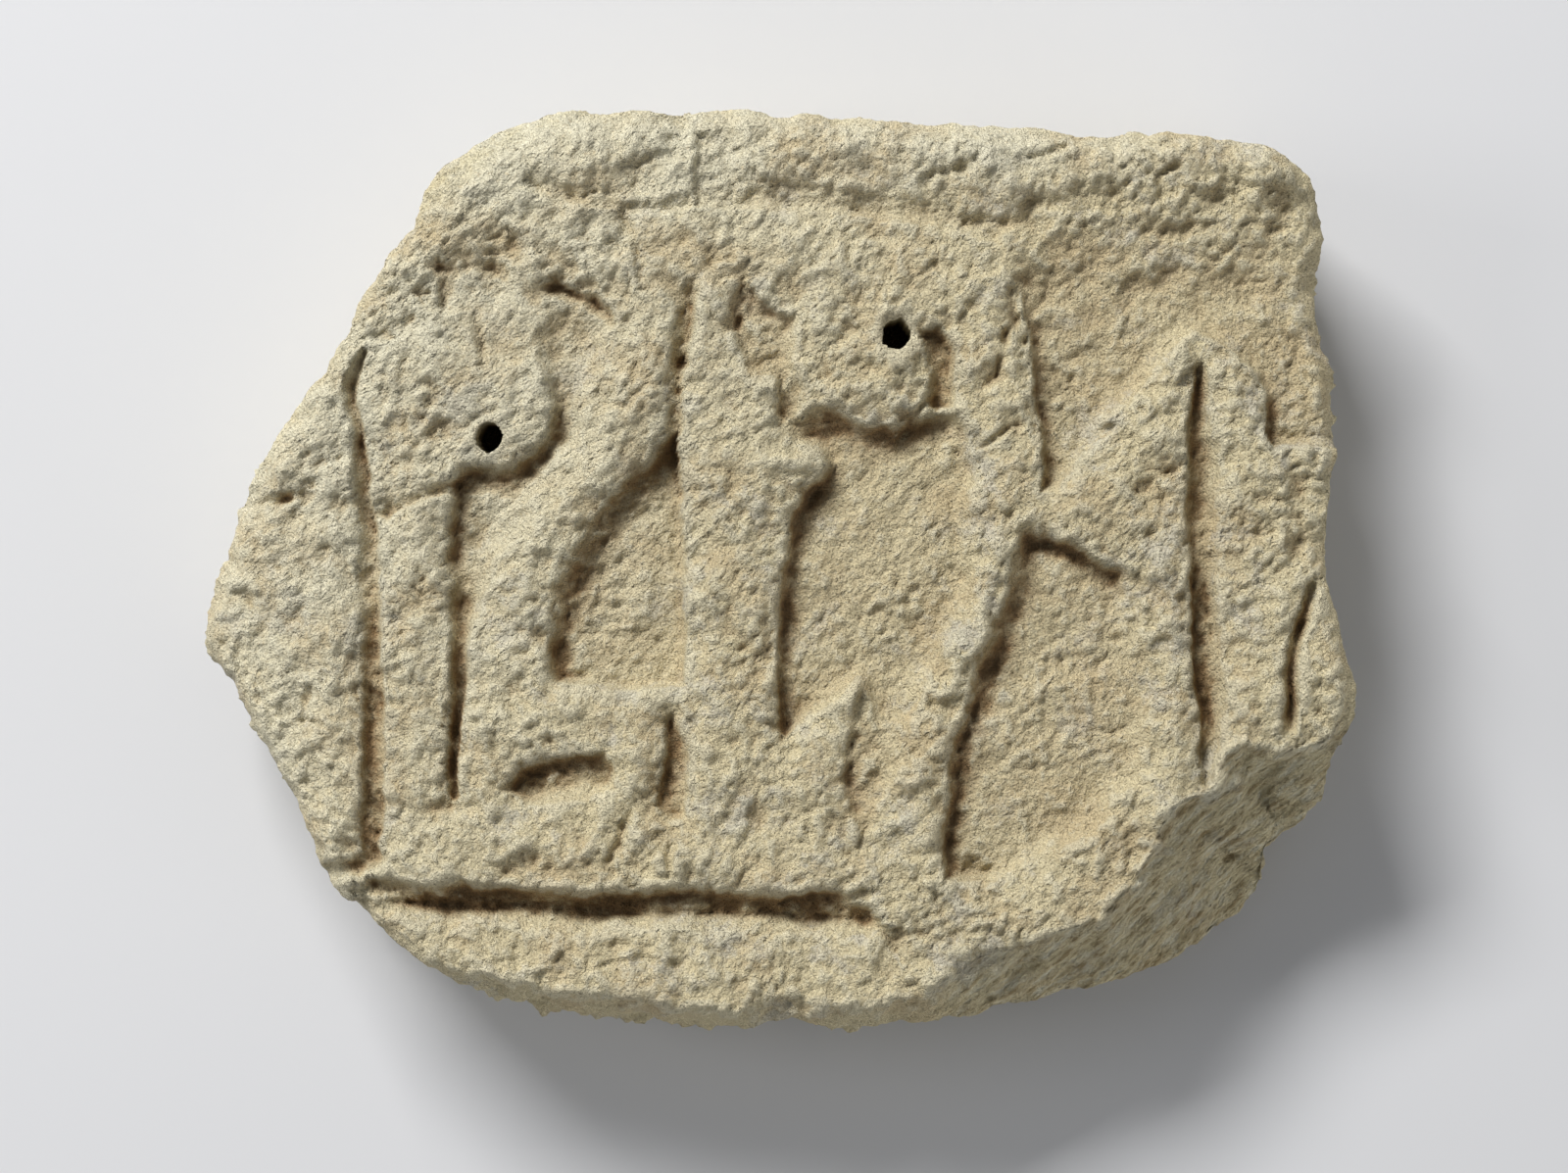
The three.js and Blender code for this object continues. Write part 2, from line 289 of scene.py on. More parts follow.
GROUNDS = (
    Ground("triangle", 9.0, (
        (-25, 36, 3), (-23.5, 22, 1.8), (-23.3, -10, 1.8), (-23.3, -30, 1.8), (-40, -30.2, 1.6),
        (-58, -28.8, 3), (-59.5, -20, 5), (-58, -8, 7), (-54.5, 3, 8.5), (-46.5, 15, 9), (-35, 29, 8))),
    Ground("middle", 8.2, (
        (12.5, 28, 3), (4.5, 15, 3.6), (1.5, 0, 3.2), (0, -12, 3), (-0.5, -30, 2), (0.5, -44, 3),
        (12, -37.5, 5), (21, -29.5, 5), (26, -42, 6), (34, -42, 9), (40, -29, 9), (45, -20, 9),
        (50, -12, 8), (52, -3, 7), (52, 6, 6), (51, 18, 5), (51.5, 28, 4), (50, 37, 4), (46, 41, 3.5),
        (40, 40.5, 4.5), (30, 37, 5), (20, 39, 5), (12, 43, 8), (7, 45, 12), (1, 43, 12), (0, 38, 8),
        (4, 33, 5), (10, 31, 3))),
    Ground("shoulder_recess", 5.6, (
        (-12, 68, 1.4), (-10.4, 60, 1.4), (-8, 52.5, 1.6), (-1, 50, 1.4), (-0.6, 43, 1.6), (0, 37, 2.4),
        (7, 38, 4), (8, 47, 4), (5.4, 54, 4), (4.8, 60, 4), (4.6, 65, 2.4), (0, 67.4, 1.8), (-5, 71, 2.4),
        (-9, 76.5, 2.4))),
    Ground("toe_valley", 4.4, (
        (20.5, -31, 3), (18.5, -42, 3), (17.2, -52, 2.2), (18.6, -64, 2.2), (22, -71, 4), (27, -66, 5),
        (31, -55, 6), (35, -42, 7), (38, -33, 7))),
    Ground("right_upper", 7.4, (
        (60, 84, 26), (61, 76, 10), (62.5, 69, 3), (63.5, 62, 2.6), (66, 52, 2.6), (67, 42, 2.4),
        (68.4, 30, 2.4), (68.4, 20, 2), (72, 20, 4), (80, 30, 5), (86, 37, 5), (98, 50, 5), (103, 58, 4),
        (109, 60, 4), (118, 55.5, 3.5), (124, 51, 3), (126.4, 45, 2.4), (126.8, 33, 1.6), (128, 31, 1.6),
        (140, 31.5, 3), (160, 32, 5), (165, 98, 34), (139, 99, 30), (100, 98, 30), (76, 97, 30),
        (64, 93, 30))),
    Ground("top_valley", 3.8, (
        (-20.8, 113, 1.4), (-20.8, 94, 1.4), (-10, 92.6, 3.5), (8, 92.6, 3.5), (20, 91.6, 3.5),
        (30, 89.6, 3.5), (46, 86.6, 4), (58, 83, 5), (66, 90, 9), (60, 97, 18), (38, 103, 20),
        (16, 105, 20), (0, 107, 18), (-10, 114, 9))),
    Ground("right_lower", 7.6, (
        (63.5, 11, 3.4), (60.5, 0, 5.4), (57, -10, 6), (52.5, -20, 6.5), (49, -29, 6), (47.5, -39, 4.5),
        (43.5, -52, 4), (43.6, -62, 3.4), (43, -72, 2.8), (43.6, -80, 2), (54, -82, 4), (65, -77, 6),
        (81, -68, 7), (96, -51, 7), (98, -34, 8), (96, -12, 12), (91, 1, 6), (84, 1.5, 2), (78, 7, 2.2),
        (72, 9, 2.2))),
    Ground("blade_channel", 7.6, (
        (107.6, 52.5, 1.4), (106.6, 42, 2.4), (105.4, 32, 2.6), (105.8, 20, 2.6), (105.6, 8, 2.6),
        (106.8, -6, 2.2), (107.4, -20, 2), (106.8, -29, 2.2), (108.2, -38, 2), (109, -50, 1.6),
        (110.2, -58, 1.4), (113.4, -50, 3), (115.2, -40, 3.4), (116, -25, 3.6), (115.2, -10, 4),
        (114.8, 5, 4.2), (114.4, 20, 4.2), (113.6, 35, 4.2), (112, 46, 3.4), (109.6, 54, 1.8))),
    Ground("left_inner", 7.2, (
        (-84.5, 22.5, 3), (-85, 11, 3), (-85.2, 2, 3), (-84, -4, 3), (-84.6, -12, 2.6), (-84.8, -25, 2.2),
        (-84.6, -40, 2), (-85, -52, 1.8), (-84.8, -60, 2), (-82, -59, 1.6), (-80.8, -40, 1.8),
        (-79.6, -25, 2), (-78.4, -14, 2.6), (-75, -7, 4), (-72, 2, 8), (-65, 10, 9), (-58, 20, 9),
        (-52, 30, 9), (-48, 40, 9), (-44, 50, 9), (-42, 58, 9), (-41.6, 65, 10), (-46, 70.5, 14),
        (-52, 73.2, 14), (-58, 74.4, 14), (-62, 68, 12), (-65, 60, 9), (-62, 54, 4.5), (-59, 50, 4),
        (-58, 45, 4), (-58.2, 40, 4), (-60.2, 35, 4), (-63, 30.5, 4), (-66, 28, 4), (-70, 27, 4),
        (-75, 28, 4), (-80, 27.6, 4))),
    Ground("left_step", 2.8, (
        (-88, 78, 3), (-86.6, 66.6, 1.4), (-78.4, 66.4, 1.2), (-77.2, 57, 1.4), (-70, 53.5, 4),
        (-60, 52.5, 4), (-50, 56, 3), (-48, 68, 3), (-60, 75, 4), (-70, 79, 6), (-80, 84, 6))),
    Ground("left_channel", 6.0, (
        (-107, 58, 1.6), (-111.6, 51, 2.2), (-111.2, 43, 2.6), (-109.8, 36, 3), (-109.4, 27, 3.4),
        (-109, 14, 3.8), (-108.4, 2, 3.8), (-107.8, -14, 3.2), (-107, -28, 2.6), (-107, -45, 2.4),
        (-107, -60, 2.4), (-107, -72, 2.4), (-102, -75.4, 1.6), (-101, -68, 1.4), (-100.8, -50, 1.4),
        (-101, -30, 1.5), (-102, -14, 1.8), (-102.2, 2, 1.8), (-102.8, 14, 1.8), (-104.4, 27, 1.6),
        (-106, 36, 1.6), (-107.2, 44, 1.6), (-107.2, 51, 1.8), (-105, 57, 2))),
    Ground("mouth_hollow", 6.2, (
        (-70, -57, 3), (-67, -51.5, 3.4), (-60, -49, 3.4), (-52, -47.6, 3), (-45, -46.4, 2.6),
        (-42, -51, 2.4), (-42, -56, 3.5), (-50, -59, 5), (-58, -61, 4), (-65, -61.5, 3))),
    Ground("leg_slot", 5.6, (
        (-27.8, -35, 1.6), (-29, -45, 1.8), (-31, -55, 2.2), (-32, -61, 2.4), (-27.4, -64.6, 1.8),
        (-24, -64, 1.6), (-22.6, -58, 1.6), (-22.6, -48, 1.6), (-24.6, -40, 2))),
    Ground("left_margin", 7.5, (
        (-122, 26, 20), (-121.5, 10, 28), (-121.5, -20, 28), (-121.5, -50, 24), (-120, -72, 20),
        (-140, -90, 9), (-165, -60, 9), (-165, 10, 9), (-140, 24, 10), (-128, 22, 12)), pocked=True),
    Ground("head_notch", 6.4, (
        (47, 42, 2), (46.4, 50, 2), (46.2, 58, 2), (42.4, 63.6, 2), (37, 62, 1.6), (38.6, 56, 3),
        (39.4, 49, 3.6), (38.4, 43, 3.6), (42, 39.5, 3))),
)

GROOVES = (
    Groove("foot_ledge", 6.8, 5.4, 8.0, (
        (-104, -81.4), (-94, -84.4), (-87, -85), (-80, -84.4), (-71, -84.6), (-62, -86.2), (-50, -86.8),
        (-40, -86), (-28, -85), (-15, -86), (0, -86.6), (10, -87.6), (21, -88.6))),
    Groove("border_slope", 2.6, 2.0, 20.0, ((-108, -86), (-80, -87), (-40, -88), (0, -89), (24, -91))),
    Groove("foot_ledge_fork", 2.6, 2.0, 3.0, ((2, -84.5), (12, -83.6), (22.5, -82.6))),
    Groove("limb_undercut", 2.0, 2.4, 3.0, (
        (-31, 18), (-38, 9), (-44, 0), (-50, -9), (-53, -18), (-54, -26))),
    Groove("pillar_top", 3.8, 2.6, 5.0, ((-22.4, 72), (-22.6, 64), (-24, 53))),
    Groove("pillar_side", 2.6, 2.0, 5.0, ((-24, 53), (-25, 44), (-25, 36))),
    Groove("edge_slot", 4.4, 2.0, 3.6, ((139, -4), (137, -11), (135, -18), (133.6, -28), (132.4, -40))),
    Groove("margin_pit", 4.2, 2.6, 2.2, ((-131.4, 18), (-127, 18))),
    Groove("margin_ledge", 0.8, 1.6, 5.0, ((-126, 20), (-118, 19.6), (-110, 18))),
    Groove("strip_foot", 4.6, 3.0, 4.0, ((-116, -77.5), (-109, -76.6), (-103, -73.6))),
    Groove("head_seat", 3.0, 3.8, 2.4, ((-101.5, 15.4), (-96, 17.6), (-90, 20.2), (-83, 21.6))),
    Groove("hook", 5.0, 1.8, 4.0, ((-57.5, 73.6), (-51, 71.6), (-47, 70), (-42.6, 66))),
    Groove("head_top", 1.7, 1.6, 1.8, ((-106, 60.4), (-99, 60.2))),
    Groove("wig_step", 2.0, 3.0, 1.4, ((-87.6, 78), (-86.8, 73), (-85.6, 69))),
    Groove("ear_step", 2.0, 2.6, 1.4, ((-78.4, 66), (-77.2, 62), (-76.8, 57))),
    Groove("slot_tail", 2.7, 1.6, 2.0, ((-26.4, -67), (-27.6, -75.5))),
    Groove("pillar_foot", 1.7, 1.6, 2.4, ((-37, -62), (-39, -66), (-42, -74))),
    Groove("arch_line", 2.0, 1.8, 2.6, ((-40, 92), (-36.6, 87), (-34.6, 81), (-35, 76))),
    Groove("arch_lip", 2.2, 5.0, 2.6, ((-63, 99.4), (-54, 96.6), (-47, 94.6), (-38, 93.6), (-24, 93.4))),
    Groove("top_fold", 2.6, 3.6, 8.0, ((-24, 116), (-26, 108), (-33, 101), (-44, 98))),
    Groove("neck_crack", 2.1, 1.4, 1.8, ((53, 31.5), (57, 33.8), (63, 37.2))),
    Groove("neck_line", 1.1, 1.2, 1.4, ((53, 15.6), (62, 15))),
    Groove("cheek_line", 2.2, 1.6, 1.8, ((58.6, 62), (58, 56), (56.8, 50))),
    Groove("shoulder_ledge", 3.4, 1.8, 2.6, ((61, 72), (61.6, 66), (63.4, 59))),
    Groove("strip_lower_edge", 1.5, 1.6, 5.0, ((52, 90), (75, 89.4), (100, 89), (122, 89.6), (142, 90))),
    Groove("blade_crack", 2.8, 1.5, 1.8, ((80.5, 32.5), (84, 34.8), (88, 37))),
    Groove("spur", 3.6, 3.0, 3.0, ((47, -52.5), (51, -50.6), (58, -48))),
    Groove("leg_fold", 2.0, 3.0, 2.6, ((41, -35), (46, -34), (51, -36))),
    Groove("heel_crack", 1.3, 1.4, 1.4, ((23, -88), (29, -94), (33, -100))),
    Groove("top_dent_left", 2.4, 2.4, 2.4, ((38, 101), (49, 104.4))),
    Groove("top_dent_middle", 2.0, 1.8, 2.2, ((66, 106.4), (75, 109))),
    Groove("top_dent_right", 2.6, 1.8, 2.2, ((99, 102), (103.4, 104))),
    Groove("border_crack", 1.3, 1.2, 1.8, ((-46, -101.6), (-38, -100.6), (-30, -100))),
    Groove("ground_line", 1.1, 1.4, 1.8, ((68, -41), (78, -41.6))),
)

DENTS = (
    Dent(-70, 83.5, 6, 2.4), Dent(-73, 77, 5, 2.0), Dent(-61.5, -56, 4.5, 1.8), Dent(-63.6, 24.6, 2, 1.6),
    Dent(-81, -8, 3, 1.0), Dent(-100.6, 15, 2.2, 1.4), Dent(-100.6, 51, 1.3, 1.2), Dent(-76, 54, 1.4, 1.2),
    Dent(-24, 114, 9, 1.4), Dent(-12, 115, 6, 1.0), Dent(28, 97.4, 3, 1.0), Dent(60.5, 64, 2.5, 1.2),
    Dent(-137, -7, 3, 1.0), Dent(-134, -22, 4, 1.0), Dent(14, -66.5, 3, 1.0), Dent(-11.2, 64, 2.4, 2.2),
    Dent(132, 93, 9, 1.6), Dent(137, 22, 7, 5.0), Dent(136, 8, 7, 4.4), Dent(-4, -21, 6, 3.0),
    Dent(36, 42, 9, 1.6), Dent(49.8, -77.4, 2.3, 1.8), Dent(52.2, -77.6, 2.6, 2.2),
    Dent(54.8, -78, 2.4, 1.9), Dent(22, 50, 3, 0.8), Dent(28, 43, 3, 0.8), Dent(13, 52, 2.6, 0.7),
    Dent(20, 61, 2.4, 0.7), Dent(-88, 72, 3, 0.6), Dent(9.5, 20, 3.2, 2.0), Dent(-14, -66, 3.2, 0.9),
    Dent(-8, -76, 2.6, 0.9), Dent(8, -70, 3, 0.9),
)

HOLES = (
    DrilledHole(-74, 34.5, 3.5, 30, (1.0, 0.97, 1.08, 1.0, 0.95, 1.02, 1.12, 0.98)),
    DrilledHole(31, 61, 3.8, 30, (0.98, 0.9, 1.08, 0.93, 1.04, 0.88, 1.06, 0.94, 1.05, 0.9)),
)

# Edge of the front, with the slope in degrees of the side that falls away outside it.
FRONT_EDGE = (
    (-52, 114, 40), (-66, 108, 38), (-79, 99, 38), (-89, 88, 40), (-100, 76, 48), (-106, 64, 50),
    (-116, 47, 55), (-127, 30, 58), (-136, 15, 60), (-143, -2, 60), (-148, -16, 68), (-141, -30, 75),
    (-131, -46, 75), (-122, -62, 75), (-117, -76, 75), (-103, -90, 70), (-88, -102, 68), (-70, -107, 70),
    (-46, -111, 70), (-26, -114, 70), (-6, -114, 70), (2, -111, 65), (10, -114, 62), (26, -113, 60),
    (40, -109, 60), (50, -100, 55), (68, -95, 52), (84, -89, 50), (92, -79, 50), (98, -70, 50),
    (103, -60, 50), (112, -54, 46), (114, -47, 44), (120, -43, 46), (134, -45, 50), (143, -42, 58),
    (147, -32, 66), (145, -18, 68), (141, -4, 68), (139.5, 4, 68), (141, 16, 68), (143, 30, 66),
    (143, 45, 64), (140, 60, 62), (137, 72, 60), (139, 86, 60), (136, 98, 55), (128, 106, 52),
    (112, 109, 50), (90, 109.5, 50), (64, 111, 48), (40, 112, 48), (14, 113.5, 48), (-20, 115, 48),
)

# The stone's outline seen square on, as four sides that meet at its blunt corners.
LEFT_SIDE = (
    (-113, -84), (-118, -77), (-119, -70), (-123, -63), (-127, -55), (-132, -47), (-137, -38), (-143, -30),
    (-147, -24), (-150, -17), (-149, -8), (-146, 0), (-142, 8), (-140, 15), (-136, 24), (-130, 33),
    (-124, 42), (-117, 51), (-111, 60), (-106, 71), (-100, 82), (-94, 89), (-90, 98), (-86, 105),
)
TOP_SIDE = (
    (-86, 105), (-78, 111), (-68, 116), (-51, 119), (-25, 118.5), (0, 118), (20, 117), (40, 115.5),
    (60, 114.5), (80, 112.5), (100, 112.5), (116, 111), (126, 109.5), (134, 106),
)
RIGHT_SIDE = (
    (123, -92.5), (127, -88), (130, -82), (130.5, -75), (135, -68.5), (141, -59.5), (144, -53),
    (147, -46.5), (149, -38), (150, -30), (147, -20), (144, -8), (141, 0), (142, 10), (144, 25), (146, 40),
    (143, 55), (142, 62), (139.5, 70), (141, 78), (142, 88), (141, 95), (138, 102), (134, 106),
)
BOTTOM_SIDE = (
    (-113, -84), (-106, -89), (-101, -94), (-96, -98), (-87, -104), (-82, -108), (-72, -111), (-60, -114),
    (-48, -115.5), (-38, -118), (-20, -119), (-8, -118.5), (0, -115.5), (4, -115), (10, -118), (22, -118.5),
    (32, -117.5), (45, -116.5), (58, -114.5), (70, -112.5), (85, -108.5), (100, -104.5), (110, -101),
    (123, -92.5),
)


@dataclass
class Outline:
    """The slab's outline and the even mesh of places inside it."""

    smoothing: int = 14
    left: np.ndarray = field(default_factory=lambda: np.array(LEFT_SIDE, float))
    right: np.ndarray = field(default_factory=lambda: np.array(RIGHT_SIDE, float))
    bottom: np.ndarray = field(default_factory=lambda: np.array(BOTTOM_SIDE, float))
    top: np.ndarray = field(default_factory=lambda: np.array(TOP_SIDE, float))

    def along(self, side: np.ndarray, share: np.ndarray) -> tuple[np.ndarray, np.ndarray]:
        """Places on one side at given shares of its length."""
        steps = np.hypot(*np.diff(side, axis=0).T)
        length = np.concatenate([[0.0], np.cumsum(steps)]) / steps.sum()
        return np.interp(share, length, side[:, 0]), np.interp(share, length, side[:, 1])

    def place(self, u: np.ndarray, v: np.ndarray) -> tuple[np.ndarray, np.ndarray]:
        """Spreads the unit square over the outline.

        Args:
            u: Share of the way from the left side to the right side.
            v: Share of the way from the bottom side to the top side.

        Returns:
            Places across and up.
        """
        placed = []
        for axis in (0, 1):
            bottom, top = self.along(self.bottom, u)[axis], self.along(self.top, u)[axis]
            left, right = self.along(self.left, v)[axis], self.along(self.right, v)[axis]
            low = (1 - u) * self.bottom[0, axis] + u * self.bottom[-1, axis]
            high = (1 - u) * self.top[0, axis] + u * self.top[-1, axis]
            ruled = (1 - v) * bottom + v * top + (1 - u) * left + u * right
            placed.append(ruled - (1 - v) * low - v * high)
        return placed[0], placed[1]

    def inward(self, u: np.ndarray, v: np.ndarray) -> tuple[np.ndarray, np.ndarray]:
        """Level direction into the stone at places on the outline, smoothed over its small corners."""
        x, y = self.place(u, v)
        turn = np.arctan2(2 * v - 1, 2 * u - 1)
        order = np.argsort(turn)
        ring_x, ring_y = x[order], y[order]
        run_x = np.roll(ring_x, -self.smoothing) - np.roll(ring_x, self.smoothing)
        run_y = np.roll(ring_y, -self.smoothing) - np.roll(ring_y, self.smoothing)
        length = np.hypot(run_x, run_y)
        in_x, in_y = np.empty_like(x), np.empty_like(y)
        in_x[order], in_y[order] = -run_y / length, run_x / length
        return in_x, in_y


@dataclass
class Grain:
    """Roughness of the stone, read from noise that fills space, so that it runs on over every edge."""

    seed: Vector = field(default_factory=lambda: Vector((31.7, 12.3, 7.9)))
    weakening: float = 0.75
    narrowing: float = 2.1
    flake_top: float = 0.66
    least_kept: float = 0.05

    def fractal(self, places: np.ndarray, size: float, octaves: int) -> np.ndarray:
        """Cloudy noise with lumps of a given size in millimetres."""
        at = [Vector(p) / size + self.seed for p in places]
        return np.array([noise.fractal(p, self.weakening, self.narrowing, octaves) for p in at])

    def flakes(self, places: np.ndarray, size: float, steps: float) -> np.ndarray:
        """Low broken steps: nearly flat tops with short steep falls between them."""
        level = (self.fractal(places, size, 4) + 1.0) * steps
        base = np.floor(level)
        step = ease((level - base - self.flake_top) / (1.0 - self.flake_top))
        return (base + 0.25 * (level - base) + 0.75 * step) / steps - 1.0

    def warp(self, places: np.ndarray, size: float) -> np.ndarray:
        """Small sideways shifts, one per place."""
        at = [Vector(p) / size + self.seed for p in places]
        return np.array([noise.noise_vector(p) for p in at])

    def pits(self, places: np.ndarray, size: float, share: float) -> np.ndarray:
        """Round pits scattered through the stone.

        Args:
            places: Places in millimetres.
            size: Spacing of the pits in millimetres.
            share: Radius of a pit as a share of the spacing.

        Returns:
            Depth of the pits, from 0 to 1.
        """
        found = []
        for place in places:
            at = Vector(place) / size + self.seed
            distances, centres = noise.voronoi(at)
            kept = noise.noise(centres[0] * 3.3) > self.least_kept
            found.append(max(0.0, 1.0 - distances[0] / share) if kept else 0.0)
        return ease(np.array(found))


@dataclass(frozen=True)
class Roughness:
    """The stone's roughness read at each point, layer by layer."""

    lumps: np.ndarray
    bumps: np.ndarray
    flakes: np.ndarray
    fine: np.ndarray
    pits: np.ndarray
    pocked: np.ndarray

    @classmethod
    def read(cls, grain: Grain, places: np.ndarray) -> "Roughness":
        """Reads every layer, each from its own part of the noise.

        Args:
            grain: The stone's noise.
            places: Places in millimetres.

        Returns:
            The layers, one value per place in each.
        """
        bent = places + grain.warp(places + 210, 3.0) * 1.2
        return cls(
            lumps=grain.fractal(places, 16.0, 2),
            bumps=grain.fractal(places + 50, 8.0, 4),
            flakes=grain.flakes(places + 70, 6.5, 3.0),
            fine=grain.fractal(places + 90, 2.4, 2),
            pits=grain.pits(bent, 4.6, 0.34) * 0.5 + grain.pits(bent + 20, 2.9, 0.4) * 0.6,
            pocked=0.35 + 0.65 * ease((grain.fractal(places + 130, 22.0, 2) + 0.25) / 0.5),
        )

    def on_face(self, floor: np.ndarray) -> np.ndarray:
        """Push on the carved face, calmer where a floor was smoothed."""
        calm = 1.0 - 0.5 * floor
        push = 1.4 * self.lumps + (1.4 * self.bumps + 1.0 * self.flakes) * calm
        return push + ((0.8 * self.fine - 1.1 * self.pits) * self.pocked + 0.5 * self.fine)

    def on_side(self, deep: np.ndarray) -> np.ndarray:
        """Push on the broken sides, rougher away from the face."""
        broken_side = 1.6 * self.lumps + 1.4 * self.bumps + 1.3 * self.flakes + 0.6 * self.fine - 1.3
        return 1.5 * self.lumps + 0.9 * self.bumps + 0.3 * self.fine + deep * broken_side

    def on_break(self, grain: Grain, places: np.ndarray) -> np.ndarray:
        """Push on the broken corner: facets with slanting streaks."""
        facets = grain.fractal(places * (0.7, 1.3, 1.0) + 170, 21.0, 2)
        along, across = places @ (0.77, 0.64, 0.0), places @ (-0.64, 0.77, 0.0)
        streaks = grain.fractal(np.stack([along * 0.2, across, places[:, 2] * 0.4], 1), 4.0, 3)
        return 2.6 * facets + 0.8 * self.bumps + 1.1 * streaks + 0.4 * self.fine


@dataclass
class Carving:
    """The carved face as a height over the raised level, and how it falls off at its edges."""

    grounds: tuple[Ground, ...] = GROUNDS
    grooves: tuple[Groove, ...] = GROOVES
    dents: tuple[Dent, ...] = DENTS
    holes: tuple[DrilledHole, ...] = HOLES
    strip_foot: float = 92.0
    strip_height: float = 0.8
    strip_crest: float = 104.0
    strip_fall: float = 2.8
    groove_limit: float = 8.0
    edge_round: float = 3.0
    break_round: float = 0.8
    break_left: float = 34.0
    break_top: float = -36.0

    def cut(self, x: np.ndarray, y: np.ndarray) -> tuple[np.ndarray, np.ndarray]:
        """Works out the worn carving without its edges.

        Args:
            x: Places across.
            y: Places up.

        Returns:
            Height over the raised level, and how far a place lies in a smoothed floor, from 0 to 1.
        """
        deepest = np.zeros(x.shape)
        floor = np.zeros(x.shape)
        for ground in self.grounds:
            depth, flat = ground.depth_at(x, y)
            deepest = np.maximum(deepest, depth)
            if not ground.pocked:
                floor = np.maximum(floor, flat)
        grooves = sum(groove.depth_at(x, y) for groove in self.grooves)
        dents = sum(dent.depth_at(x, y) for dent in self.dents)
        swell = self.strip_height * ease((y - self.strip_foot) / 10.0)
        swell -= self.strip_fall * ease((y - self.strip_crest) / 16.0)
        return swell - deepest - grooves * (1.0 - deepest / self.groove_limit) - dents, floor

    def fall(self, x: np.ndarray, y: np.ndarray) -> tuple[np.ndarray, np.ndarray]:
        """Works out how the front rounds off into the sides.

        Args:
            x: Places across.
            y: Places up.

        Returns:
            Drop below the face, and distance outside the front's edge.
        """
        edge = np.array(FRONT_EDGE, float)
        distance, slope, _ = nearest_on_lines(x, y, edge, closed=True)
        out = np.where(inside_of(x, y, edge), -distance, distance)
        rounding = self.edge_round + (self.break_round - self.edge_round) * self.break_zone(x, y)
        past = np.maximum(out + rounding, 0.0)
        return np.tan(np.radians(slope)) * past**2 / (past + 2.0 * rounding), out

    def break_zone(self, x: np.ndarray, y: np.ndarray) -> np.ndarray:
        """How far each place lies towards the broken corner, from 0 to 1."""
        return ease((x - self.break_left) / 22.0) * ease((self.break_top - y) / 10.0)


